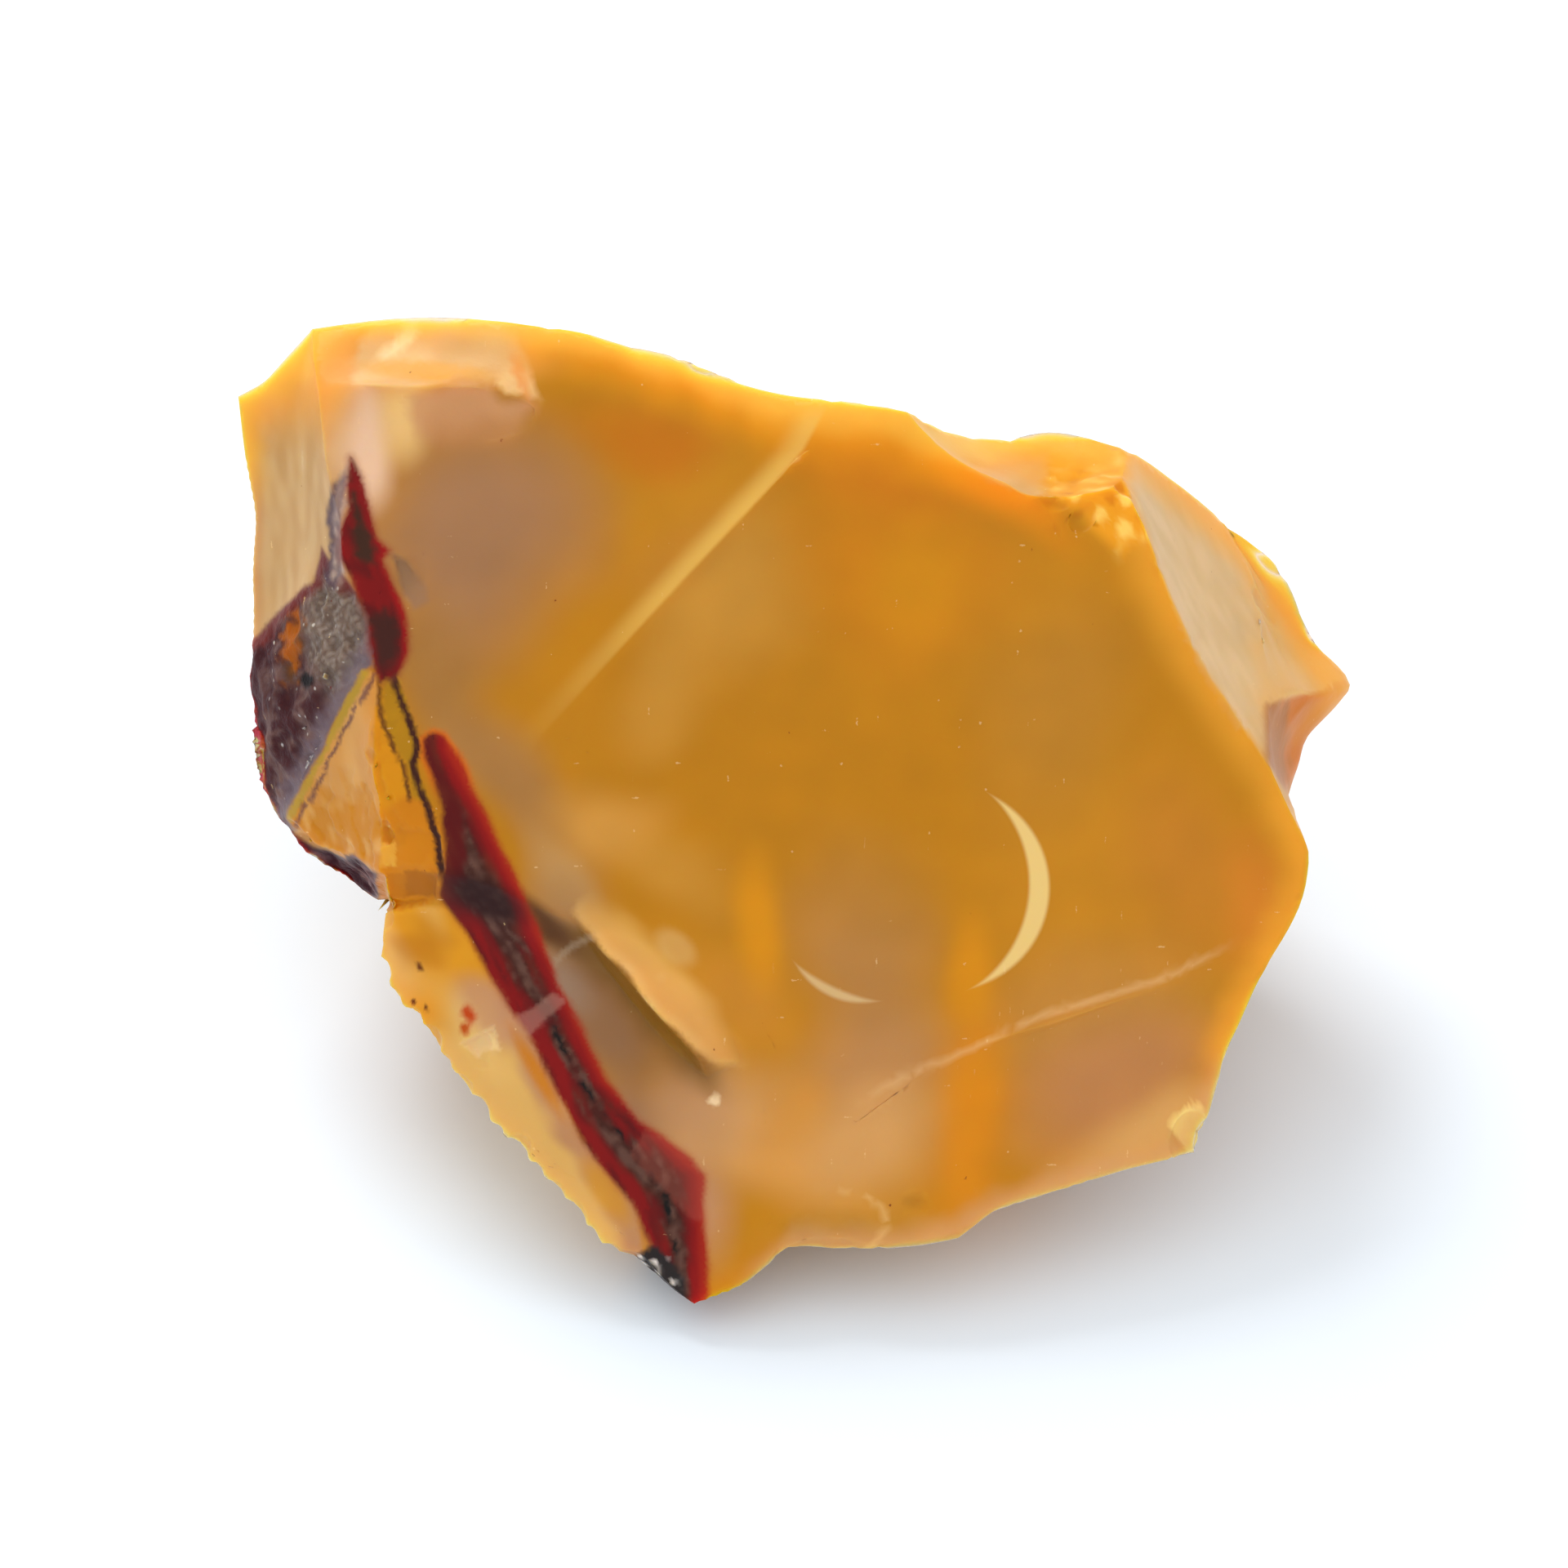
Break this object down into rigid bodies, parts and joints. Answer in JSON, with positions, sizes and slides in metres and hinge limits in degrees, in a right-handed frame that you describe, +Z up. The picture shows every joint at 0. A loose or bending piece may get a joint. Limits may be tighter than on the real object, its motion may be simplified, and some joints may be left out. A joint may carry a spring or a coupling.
{
  "type": "rough mookaite jasper",
  "caption": "Broken lump of yellow and mauve jasper with a big struck face, smaller flake scars, a dark red vein and a flat break to rest on",
  "frame": {"origin": "on the surface that the stone rests on, under the middle of its box", "axes": "+X along the longest extent, from the rind to the right tip; +Y from the struck face to the back; +Z up"},
  "size_m": [0.055, 0.0412, 0.0358],
  "materials": {
    "jasper": "fresh waxy break, mustard yellow and mauve, crossed by a dark red vein; translucent at thin edges"
  },
  "bodies": {
    "root": {"stone": "jasper"}
  },
  "joints": []
}
